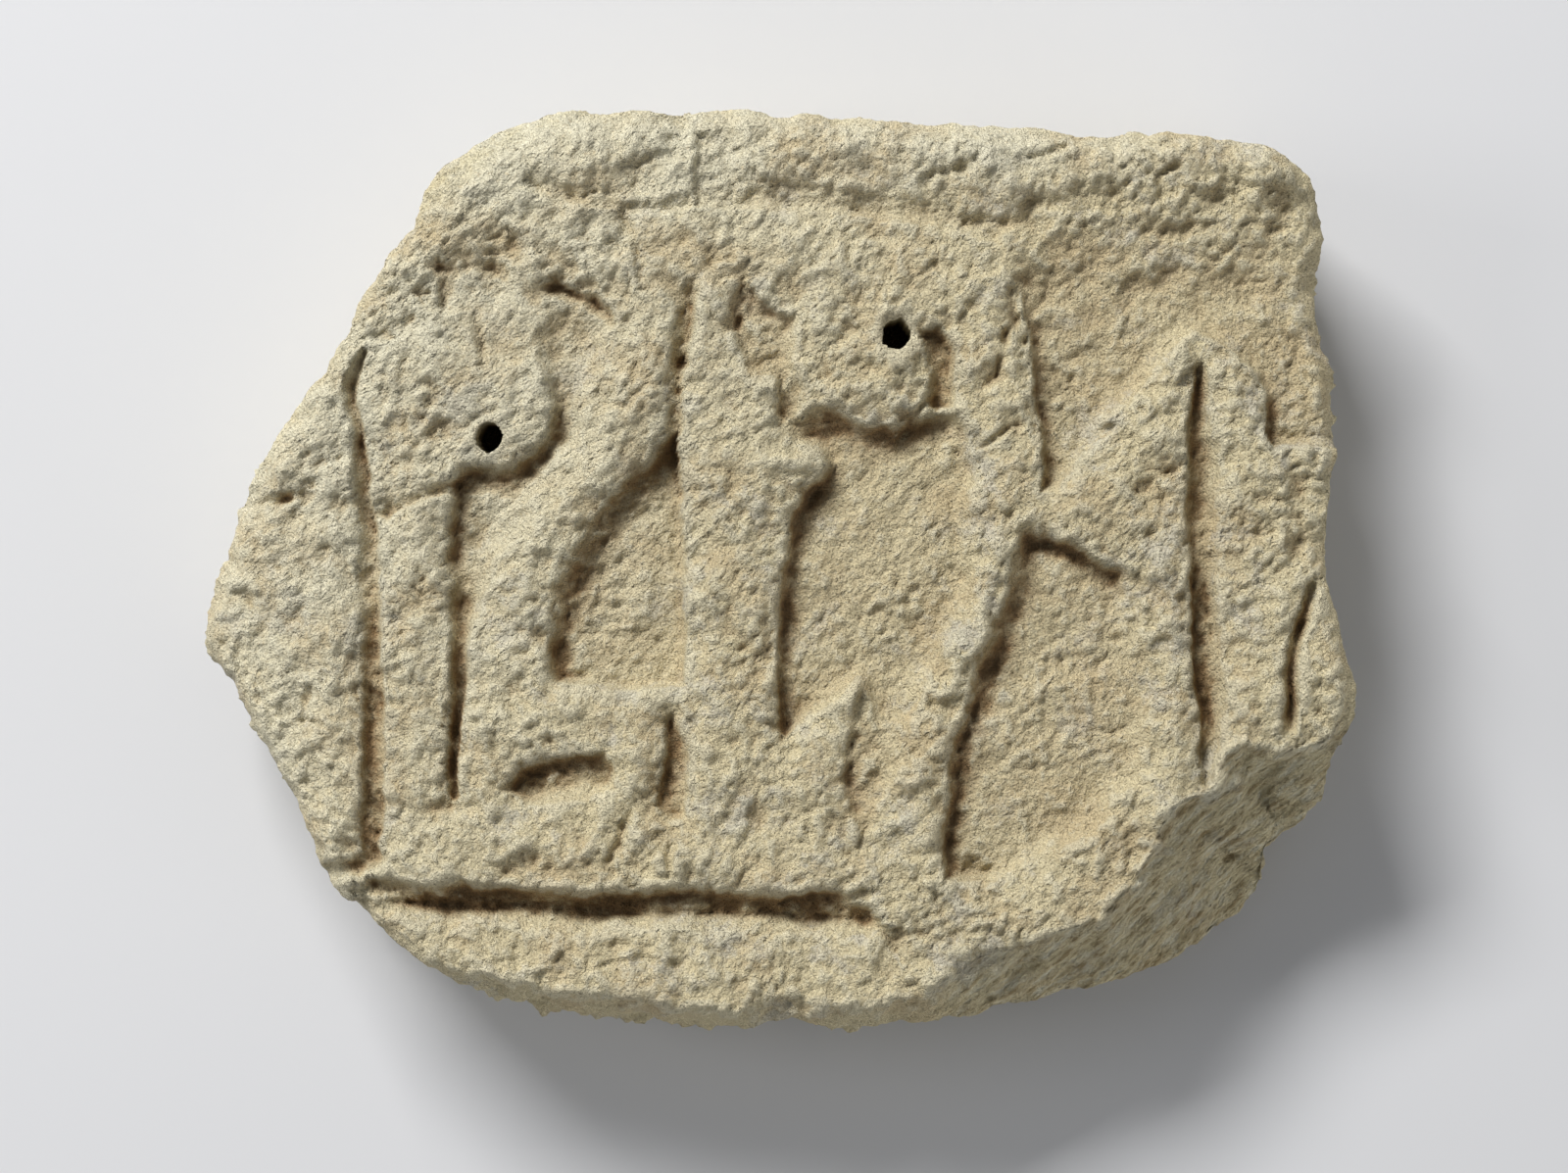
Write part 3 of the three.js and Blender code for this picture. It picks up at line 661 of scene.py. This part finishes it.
@dataclass(frozen=True)
class LimestoneFinish:
    """Granular, weathered limestone: cream where worn bare, tan in the floors, brown where dirt stayed, with
    painted shadow in the hollows and painted shade on walls that face down to the right.
    """

    name: str = "weathered_limestone"
    roughness: float = 0.93
    sheen: float = 0.18
    speck_size: float = 0.0007
    speck_depth: float = 0.0006
    grain_size: float = 0.0013
    grain_depth: float = 0.0026
    ridge_size: float = 0.0022
    ridge_depth: float = 0.0050
    ridge_turn: float = 0.75

    def build(self) -> bpy.types.Material:
        """Makes the node material."""
        material = bpy.data.materials.new(self.name)
        material.use_nodes = True
        tree = material.node_tree
        shader = tree.nodes["Principled BSDF"]
        shader.inputs["Roughness"].default_value = self.roughness
        shader.inputs["Specular IOR Level"].default_value = self.sheen
        colour = self.patches(tree)
        colour = self.stains(tree, colour)
        tree.links.new(colour, shader.inputs["Base Color"])
        tree.links.new(self.grain(tree), shader.inputs["Normal"])
        return material

    def noise_field(
        self,
        tree: bpy.types.NodeTree,
        size: float,
        detail: float,
        roughness: float,
        stretch: tuple[float, float, float] = (1.0, 1.0, 1.0),
        angle: float = 0.0,
    ) -> bpy.types.NodeSocket:
        """Noise over the stone.

        Args:
            tree: The material's nodes.
            size: Size of the lumps in metres.
            detail: How many finer layers it has.
            roughness: How strong the finer layers are.
            stretch: How much longer the lumps are each way.
            angle: Turn of the long way round the upright axis.

        Returns:
            The noise, about 0 to 1.
        """
        place = tree.nodes.new("ShaderNodeTexCoord")
        turn = tree.nodes.new("ShaderNodeMapping")
        turn.vector_type = "TEXTURE"
        turn.inputs["Rotation"].default_value = (0.0, 0.0, angle)
        turn.inputs["Scale"].default_value = tuple(s * size for s in stretch)
        tree.links.new(place.outputs["Object"], turn.inputs["Vector"])
        field_node = tree.nodes.new("ShaderNodeTexNoise")
        field_node.inputs["Scale"].default_value = 1.0
        field_node.inputs["Detail"].default_value = detail
        field_node.inputs["Roughness"].default_value = roughness
        tree.links.new(turn.outputs["Vector"], field_node.inputs["Vector"])
        return field_node.outputs["Fac"]

    def mark(self, tree: bpy.types.NodeTree, name: str) -> bpy.types.NodeSocket:
        """One of the marks kept on the stone's points."""
        node = tree.nodes.new("ShaderNodeAttribute")
        node.attribute_name = name
        return node.outputs["Fac"]

    def spread(
        self,
        tree: bpy.types.NodeTree,
        value: bpy.types.NodeSocket,
        low: float,
        high: float,
        most: float = 1.0,
    ) -> bpy.types.NodeSocket:
        """Stretches a value so that low becomes 0 and high becomes the most it may be."""
        node = tree.nodes.new("ShaderNodeMapRange")
        node.interpolation_type = "SMOOTHSTEP"
        node.inputs["From Min"].default_value = low
        node.inputs["From Max"].default_value = high
        node.inputs["To Max"].default_value = most
        tree.links.new(value, node.inputs["Value"])
        return node.outputs["Result"]

    def lay(
        self,
        tree: bpy.types.NodeTree,
        under: bpy.types.NodeSocket | Tone,
        over: Tone,
        share: bpy.types.NodeSocket,
    ) -> bpy.types.NodeSocket:
        """Lays one tone over a colour by a share."""
        node = tree.nodes.new("ShaderNodeMix")
        node.data_type = "RGBA"
        if isinstance(under, Tone):
            node.inputs["A"].default_value = (*under.value, 1.0)
        else:
            tree.links.new(under, node.inputs["A"])
        node.inputs["B"].default_value = (*over.value, 1.0)
        tree.links.new(share, node.inputs["Factor"])
        return node.outputs["Result"]

    def times(
        self, tree: bpy.types.NodeTree, a: bpy.types.NodeSocket, b: bpy.types.NodeSocket
    ) -> bpy.types.NodeSocket:
        """Multiplies two values."""
        node = tree.nodes.new("ShaderNodeMath")
        node.operation = "MULTIPLY"
        node.use_clamp = True
        tree.links.new(a, node.inputs[0])
        tree.links.new(b, node.inputs[1])
        return node.outputs[0]

    def patches(self, tree: bpy.types.NodeTree) -> bpy.types.NodeSocket:
        """Broad patches of cream, pale and ash, with fine specks."""
        broad = self.noise_field(tree, 0.024, 6.0, 0.66)
        colour = self.lay(tree, Tone.CREAM, Tone.TAN, self.spread(tree, broad, 0.46, 0.64, 0.8))
        grey = self.noise_field(tree, 0.015, 7.0, 0.72)
        colour = self.lay(tree, colour, Tone.ASH, self.spread(tree, grey, 0.52, 0.66, 0.7))
        floor = self.times(tree, self.mark(tree, "floor"), self.spread(tree, broad, 0.2, 0.6, 0.3))
        colour = self.lay(tree, colour, Tone.TAN, floor)
        # Paler tone towards the left and towards the top edge.
        paler_left_and_top = self.times(tree, self.mark(tree, "paler_left_and_top"), self.spread(tree, broad, 0.8, 0.3))
        colour = self.lay(tree, colour, Tone.PALE, paler_left_and_top)
        speck = self.noise_field(tree, self.speck_size * 1.6, 3.0, 0.7)
        colour = self.lay(tree, colour, Tone.PALE, self.spread(tree, speck, 0.56, 0.75, 0.7))
        return self.lay(tree, colour, Tone.TAN, self.spread(tree, speck, 0.44, 0.28, 0.7))

    def stains(self, tree: bpy.types.NodeTree, colour: bpy.types.NodeSocket) -> bpy.types.NodeSocket:
        """Dirt with painted shadow in the hollows, rust brown and painted shadow in the deepest of them,
        painted shade on walls that face down to the right, and the darker broken stone.
        """
        streak = self.noise_field(tree, 0.006, 5.0, 0.65)
        dirt_and_painted_shadow = self.mark(tree, "dirt_and_painted_shadow")
        broken = self.times(tree, self.mark(tree, "broken"), self.spread(tree, streak, 0.3, 0.7, 0.5))
        colour = self.lay(tree, colour, Tone.BROKEN, broken)
        fibres = self.fibres(tree)
        snapped = self.mark(tree, "snapped")
        umber = self.times(tree, snapped, self.spread(tree, fibres, 0.5, 0.66, 0.8))
        colour = self.lay(tree, colour, Tone.UMBER_STREAK_AND_SHADE, umber)
        fresh = self.times(tree, snapped, self.spread(tree, fibres, 0.5, 0.34, 0.9))
        colour = self.lay(tree, colour, Tone.PALE, fresh)
        # Dirt with painted shadow: hollows, and places lying under higher stone up to the left, go tan, then
        # rust brown, then earth brown where deepest.
        colour = self.lay(tree, colour, Tone.TAN, self.spread(tree, dirt_and_painted_shadow, 0.08, 0.4, 0.6))
        # Painted shade: walls that face down to the right, away from the lamp, go umber.
        wall = self.times(tree, self.mark(tree, "wall"), self.spread(tree, streak, 0.2, 0.6, 0.75))
        colour = self.lay(tree, colour, Tone.UMBER_STREAK_AND_SHADE, wall)
        rust_dirt_and_shadow = self.spread(tree, dirt_and_painted_shadow, 0.35, 0.9, 0.75)
        rust_dirt_and_shadow = self.times(tree, rust_dirt_and_shadow, self.spread(tree, streak, 0.25, 0.6))
        colour = self.lay(tree, colour, Tone.DIRT_AND_SHADOW_RUST, rust_dirt_and_shadow)
        deep = self.spread(tree, dirt_and_painted_shadow, 0.6, 1.2, 0.85)
        deep = self.times(tree, deep, self.spread(tree, streak, 0.2, 0.5))
        colour = self.lay(tree, colour, Tone.DIRT_AND_SHADOW_EARTH, deep)
        return self.lay(tree, colour, Tone.PALE, self.spread(tree, self.mark(tree, "crest"), 0.2, 1.0, 0.45))

    def fibres(self, tree: bpy.types.NodeTree) -> bpy.types.NodeSocket:
        """Long slanting streaks left where the stone was broken."""
        return self.noise_field(tree, self.ridge_size, 5.0, 0.65, (3.4, 1.0, 2.2), self.ridge_turn)

    def grain(self, tree: bpy.types.NodeTree) -> bpy.types.NodeSocket:
        """Crumbly grain too fine for the mesh."""
        normal = None
        lumps = self.noise_field(tree, self.grain_size, 5.0, 0.7)
        ridges = self.times(tree, self.mark(tree, "snapped"), self.fibres(tree))
        specks = self.grains(tree, self.speck_size)
        layers = ((lumps, self.grain_depth), (specks, self.speck_depth), (ridges, self.ridge_depth))
        for height, depth in layers:
            bump = tree.nodes.new("ShaderNodeBump")
            bump.inputs["Strength"].default_value = 0.9
            bump.inputs["Distance"].default_value = depth
            tree.links.new(height, bump.inputs["Height"])
            if normal is not None:
                tree.links.new(normal, bump.inputs["Normal"])
            normal = bump.outputs["Normal"]
        return normal

    def grains(self, tree: bpy.types.NodeTree, size: float) -> bpy.types.NodeSocket:
        """Rounded grains packed against each other, of a given size in metres."""
        place = tree.nodes.new("ShaderNodeTexCoord")
        cells = tree.nodes.new("ShaderNodeTexVoronoi")
        cells.inputs["Scale"].default_value = 1.0 / size
        tree.links.new(place.outputs["Object"], cells.inputs["Vector"])
        flip = tree.nodes.new("ShaderNodeMath")
        flip.operation = "MULTIPLY"
        flip.inputs[1].default_value = -1.0
        tree.links.new(cells.outputs["Distance"], flip.inputs[0])
        return flip.outputs[0]


@dataclass
class StoneBlock:
    """The whole stone: carved face, broken sides and plain flat back, in one closed mesh."""

    node: str = "stone_block"
    back_inset: float = 7.0
    back_round: float = 9.0
    back_step: float = 5.0
    half_height: float = 130.0
    side_bulge: float = 1.2
    rough_room: float = 1.2
    rough_from: float = 8.0
    wall_share: float = 0.4
    outline: Outline = field(default_factory=Outline)
    carving: Carving = field(default_factory=Carving)
    grain: Grain = field(default_factory=Grain)
    finish: LimestoneFinish = field(default_factory=LimestoneFinish)

    def __post_init__(self) -> None:
        """Reads the block's size and place from the CAD box."""
        low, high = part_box(self.node)
        self.scale = (high.x - low.x) / DESIGN_WIDTH
        self.centre = (low + high) / 2
        self.thickness = (high.z - low.z) / self.scale - self.rough_room
        self.back = low.z

    def build(self) -> bpy.types.Object:
        """Makes the stone and hangs it on its body."""
        stone = self.rough_out()
        u, v, level = self.read_places(stone)
        places, kinds, marks = self.shape(u, v, level)
        self.move(stone, places)
        places = self.roughen(stone, places, kinds, marks)
        self.move(stone, places)
        self.keep_marks(stone, kinds, places, marks)
        self.dress(stone)
        return stone

    def rough_out(self) -> bpy.types.Object:
        """Makes an evenly divided block: a fine face, rings for the sides and a coarser back."""
        bpy.ops.object.select_all(action="DESELECT")
        bpy.ops.mesh.primitive_grid_add(x_subdivisions=FACE_COLUMNS, y_subdivisions=FACE_ROWS, size=2)
        stone = bpy.context.object
        stone.name = "weathered_stone"
        bpy.ops.object.mode_set(mode="EDIT")
        bpy.ops.mesh.select_mode(type="EDGE")
        bpy.ops.mesh.select_all(action="SELECT")
        bpy.ops.mesh.region_to_loop()
        for _ in range(SIDE_RINGS):
            bpy.ops.mesh.extrude_region_move(TRANSFORM_OT_translate={"value": (0, 0, -1)})
        bpy.ops.mesh.select_all(action="DESELECT")
        bpy.ops.mesh.primitive_grid_add(
            x_subdivisions=BACK_COLUMNS, y_subdivisions=BACK_ROWS, size=2, location=(0, 0, -SIDE_RINGS - 1)
        )
        bpy.ops.mesh.select_all(action="DESELECT")
        bpy.ops.mesh.select_non_manifold()
        bpy.ops.mesh.bridge_edge_loops()
        bpy.ops.mesh.select_all(action="SELECT")
        bpy.ops.mesh.normals_make_consistent(inside=False)
        bpy.ops.object.mode_set(mode="OBJECT")
        return stone

    def read_places(self, stone: bpy.types.Object) -> tuple[np.ndarray, np.ndarray, np.ndarray]:
        """Reads where each point of the divided block is.

        Args:
            stone: The divided block.

        Returns:
            Shares across and up, and the ring each point is on, 0 on the face.
        """
        count = len(stone.data.vertices)
        flat = np.empty(count * 3)
        stone.data.vertices.foreach_get("co", flat)
        co = flat.reshape(-1, 3)
        return (co[:, 0] + 1) / 2, (co[:, 1] + 1) / 2, np.rint(-co[:, 2]).astype(int)

    def shape(
        self, u: np.ndarray, v: np.ndarray, level: np.ndarray
    ) -> tuple[np.ndarray, np.ndarray, dict[str, np.ndarray]]:
        """Turns the divided block into the carved stone, still smooth.

        Args:
            u: Share across of each point.
            v: Share up of each point.
            level: Ring of each point.

        Returns:
            Places in millimetres, the kind of surface of each point, and its marks.
        """
        x, y = self.outline.place(u, v)
        side = (level > 0) & (level <= SIDE_RINGS)
        back = level > SIDE_RINGS
        kinds = np.where(back, Surface.BACK.value, np.where(side, Surface.SIDE.value, Surface.FACE.value))
        face = kinds == Surface.FACE.value
        for hole in self.carving.holes:
            moved_x, moved_y = hole.gather(x[face], y[face])
            x[face], y[face] = moved_x, moved_y
        shift = self.grain.warp(np.stack([x, y, 0 * x], 1), 9.0) * 1.3
        shift += self.grain.warp(np.stack([x, y, 0 * x + 40], 1), 3.2) * 0.6
        worn_x, worn_y = x + shift[:, 0], y + shift[:, 1]
        carved, floor = self.carving.cut(worn_x, worn_y)
        drop, out = self.carving.fall(worn_x, worn_y)
        top = carved - drop
        z = np.where(face, top, 0.0)
        for hole in self.carving.holes:
            z -= np.where(face, hole.depth_at(x, y), 0.0)
        share = np.where(side, level / SIDE_RINGS, np.where(back, 1.0, 0.0))
        in_x, in_y = np.zeros_like(x), np.zeros_like(y)
        for ring in range(1, SIDE_RINGS + 1):
            on = level == ring
            in_x[on], in_y[on] = self.outline.inward(u[on], v[on])
        z = np.where(side, top + (-self.thickness - top) * share, z)
        z = np.where(back, -self.thickness, z)
        above = z + self.thickness
        inset = self.back_inset / 3 * share + self.back_inset * 2 / 3 * ease(1.0 - above / self.back_round)
        inset -= self.side_bulge * np.sin(math.pi * share)
        x = np.where(side, x + in_x * inset, x)
        y = np.where(side, y + in_y * inset, y)
        shrink = 1.0 - (self.back_inset + self.back_step) / self.half_height
        x = np.where(back, x * shrink, x)
        y = np.where(back, y * shrink, y)
        lip = np.max([hole.lip_at(x, y) for hole in self.carving.holes], axis=0)
        marks = {
            "floor": np.where(face, floor, 0.0),
            "out": np.where(face, out, 30.0),
            "lip": np.where(face, lip, 0.0),
            "snapped": self.carving.break_zone(x, y) * ease((np.where(face, out, 30.0) + 0.5) / 2.0),
        }
        return np.stack([x, y, z], 1), kinds, marks

    def move(self, stone: bpy.types.Object, places: np.ndarray) -> None:
        """Moves the points to places given in millimetres on the carved face."""
        top = self.back + self.thickness * self.scale
        world = places * self.scale
        world[:, 0] += self.centre.x
        world[:, 1] += self.centre.y
        world[:, 2] += top
        stone.data.vertices.foreach_set("co", world.ravel())
        stone.data.update()

    def roughen(
        self, stone: bpy.types.Object, places: np.ndarray, kinds: np.ndarray, marks: dict[str, np.ndarray]
    ) -> np.ndarray:
        """Pushes the points in and out along the surface by the stone's roughness.

        Args:
            stone: The smooth stone.
            places: Places in millimetres.
            kinds: Kind of surface of each point.
            marks: Marks of each point.

        Returns:
            The roughened places.
        """
        normals = np.empty(len(places) * 3)
        stone.data.vertices.foreach_get("normal", normals)
        normals = normals.reshape(-1, 3)
        outside = ease((marks["out"] + 1.0) / 5.0)
        rough = Roughness.read(self.grain, places)
        push = rough.on_face(marks["floor"])
        deep = ease((-places[:, 2] - self.rough_from) / 10.0)
        push += (rough.on_side(deep) - push) * outside
        push += (rough.on_break(self.grain, places) - push) * marks["snapped"]
        level = ease((normals[:, 2] - 0.45) / 0.4)
        on_walls = self.wall_share + (1.0 - self.wall_share) * outside
        push *= (1.0 - marks["lip"]) * (level + (1.0 - level) * on_walls)
        push = np.where(kinds == Surface.BACK.value, 0.0, push)
        upright = (1.0 - outside)[:, None] * (0.0, 0.0, 1.0)
        roughened = places + (normals * outside[:, None] + upright) * push[:, None]
        roughened[:, 2] = np.maximum(roughened[:, 2], -self.thickness)
        return roughened

    def keep_marks(
        self, stone: bpy.types.Object, kinds: np.ndarray, places: np.ndarray, marks: dict[str, np.ndarray]
    ) -> None:
        """Stores the marks that the finish reads on each point.

        Args:
            stone: The roughened stone.
            kinds: Kind of surface of each point.
            places: Places in millimetres.
            marks: Marks of each point.
        """
        face = np.flatnonzero(kinds == Surface.FACE.value)
        inner = ease((-marks["out"][face] - 1.5) / 4.0)
        # The dirt with painted shadow thins out towards the top edge.
        clean = 1.0 - 0.6 * ease((places[:, 1] - 82.0) / 12.0)
        # Paler towards the left and towards the top edge.
        paler_left_and_top = -places[:, 0] / 130.0 + places[:, 1] / 170.0 + 0.7 * ease((places[:, 1] - 94.0) / 16.0)
        # Dirt with painted shadow, painted shade on walls facing down to the right, and wear on proud points,
        # all read from the face's relief.
        dirt_and_painted_shadow, wall, crest = np.zeros((3, len(places)))
        dirt_and_painted_shadow[face], wall[face], crest[face] = self.read_relief(places[face, 2])
        dirt_and_painted_shadow[face] *= inner
        wall[face] *= inner
        kept = {
            "floor": marks["floor"],
            "dirt_and_painted_shadow": dirt_and_painted_shadow * clean,
            "crest": crest,
            "broken": np.where(kinds == Surface.FACE.value, ease((marks["out"] - 1.0) / 5.0), 1.0),
            "paler_left_and_top": np.clip(paler_left_and_top, 0.0, 1.0),
            "snapped": marks["snapped"],
            "wall": wall,
        }
        for name, values in kept.items():
            layer = stone.data.attributes.new(name, "FLOAT", "POINT")
            layer.data.foreach_set("value", values.astype(np.float32))

    def read_relief(self, height: np.ndarray) -> tuple[np.ndarray, np.ndarray, np.ndarray]:
        """Reads from the face's heights where dirt and painted shadow gather, where painted shade falls on
        walls, and where the stone wears bare.

        Args:
            height: Height of each point of the face in millimetres.

        Returns:
            How much dirt and painted shadow each point takes, from hollows and from higher stone up to the
            left, how far it lies on a wall facing down to the right, which takes painted shade, and how proud
            it is.
        """
        relief = np.clip(height.reshape(FACE_ROWS + 1, FACE_COLUMNS + 1), -9.0, 3.0)
        wide = blurred(relief, 3)
        # Painted shadow: stone higher up and to the left, towards the lamp, darkens a place as its cast
        # shadow would.
        above = (np.roll(wide, (-3, 2), (0, 1)) + np.roll(wide, (-6, 4), (0, 1))) / 2
        dirt_and_painted_shadow = np.clip((0.25 * wide + 0.75 * above - relief) / 3.5, 0.0, 1.3)
        # Painted shade on walls that face down to the right, away from the lamp.
        rise_y, rise_x = np.gradient(blurred(relief, 1))
        wall = ease((rise_y - rise_x) / 1.3 - 0.3)
        crest = np.clip((relief - blurred(relief, 2)) / 0.6, 0.0, 1.0)
        return dirt_and_painted_shadow.ravel(), wall.ravel(), crest.ravel()

    def dress(self, stone: bpy.types.Object) -> None:
        bpy.ops.object.shade_smooth()
        stone.data.materials.clear()
        stone.data.materials.append(self.finish.build())
        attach(stone, "root")
        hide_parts(self.node)


def blurred(grid: np.ndarray, reach: int) -> np.ndarray:
    """Evens out a grid over a square of the given reach, twice for a soft edge."""
    for _ in range(2):
        for axis in (0, 1):
            before = np.repeat(grid.take([0], axis), reach + 1, axis)
            after = np.repeat(grid.take([-1], axis), reach, axis)
            total = np.cumsum(np.concatenate([before, grid, after], axis), axis)
            count = grid.shape[axis]
            width = 2 * reach + 1
            high = total.take(range(width, width + count), axis)
            grid = (high - total.take(range(count), axis)) / width
    return grid


@dataclass
class Studio:
    """Pale floor, soft light from the upper left, weak light all round, and the camera straight above."""

    face_top: float
    floor_size: float = 6.0
    floor_tone: tuple[float, float, float] = (0.68, 0.68, 0.69)
    room_tone: tuple[float, float, float] = (0.93, 0.96, 1.0)
    room_strength: float = 0.225
    lens: float = 85.0
    sensor_width: float = 36.0
    frame_width: float = 0.4027
    aim: tuple[float, float] = (0.002, -0.004)

    def build(self) -> None:
        """Sets up floor, lights, world and camera."""
        self.lay_floor()
        self.hang_light("key_light", (-1.20, 2.07, 1.82), (1.4, 0.7), 112.0)
        self.hang_light("side_light", (-2.0, 0.2, 1.2), (0.8, 0.8), 9.0)
        self.hang_light("low_reflector", (1.6, -1.2, 0.35), (1.4, 0.5), 10.5)
        self.light_world()
        self.place_camera()

    def lay_floor(self) -> None:
        """Lays the pale floor just under the stone."""
        bpy.ops.object.select_all(action="DESELECT")
        bpy.ops.mesh.primitive_plane_add(size=self.floor_size, location=(0, 0, 0))
        floor = bpy.context.object
        floor.name = "pale_floor"
        paper = bpy.data.materials.new("pale_paper")
        paper.use_nodes = True
        shader = paper.node_tree.nodes["Principled BSDF"]
        shader.inputs["Base Color"].default_value = (*self.floor_tone, 1)
        shader.inputs["Roughness"].default_value = 0.9
        shader.inputs["Specular IOR Level"].default_value = 0.1
        floor.data.materials.append(paper)

    def hang_light(
        self, name: str, place: tuple[float, float, float], size: tuple[float, float], power: float
    ) -> None:
        """Hangs a soft light that looks at the middle of the stone.

        Args:
            name: The light's name.
            place: Where it hangs, in metres.
            size: Its width and height in metres.
            power: Its power in watts.
        """
        data = bpy.data.lights.new(name, "AREA")
        data.shape = "RECTANGLE"
        data.size, data.size_y = size
        data.energy = power
        light = bpy.data.objects.new(name, data)
        light.location = place
        light.rotation_mode = "QUATERNION"
        light.rotation_quaternion = (-Vector(place)).to_track_quat("-Z", "Y")
        bpy.context.scene.collection.objects.link(light)

    def light_world(self) -> None:
        """Gives the room a weak even light."""
        world = bpy.data.worlds.new("studio_room")
        world.use_nodes = True
        background = world.node_tree.nodes["Background"]
        background.inputs["Color"].default_value = (*self.room_tone, 1)
        background.inputs["Strength"].default_value = self.room_strength
        bpy.context.scene.world = world
        bpy.context.scene.view_settings.view_transform = "Standard"

    def place_camera(self) -> None:
        """Hangs the camera straight above the face, with the top of the panel up."""
        data = bpy.data.cameras.new("camera")
        data.lens = self.lens
        data.sensor_width = self.sensor_width
        camera = bpy.data.objects.new("camera", data)
        reach = self.frame_width * self.lens / self.sensor_width
        camera.location = (self.aim[0], self.aim[1], self.face_top + reach)
        bpy.context.scene.collection.objects.link(camera)
        bpy.context.scene.camera = camera


def main() -> None:
    """Builds the stone and the studio round it."""
    logging.basicConfig(level=logging.INFO, format="%(message)s")
    noise.seed_set(NOISE_SEED)
    LOG.info("cut by %s", ", ".join(cut.name for cut in (*GROUNDS, *GROOVES)))
    stone = StoneBlock().build()
    stone.data.calc_loop_triangles()
    LOG.info("stone: %d triangles", len(stone.data.loop_triangles))
    low, high = cad_box
    Studio(face_top=high.z).build()
    LOG.info("studio ready")


if __name__ == "__main__":
    main()
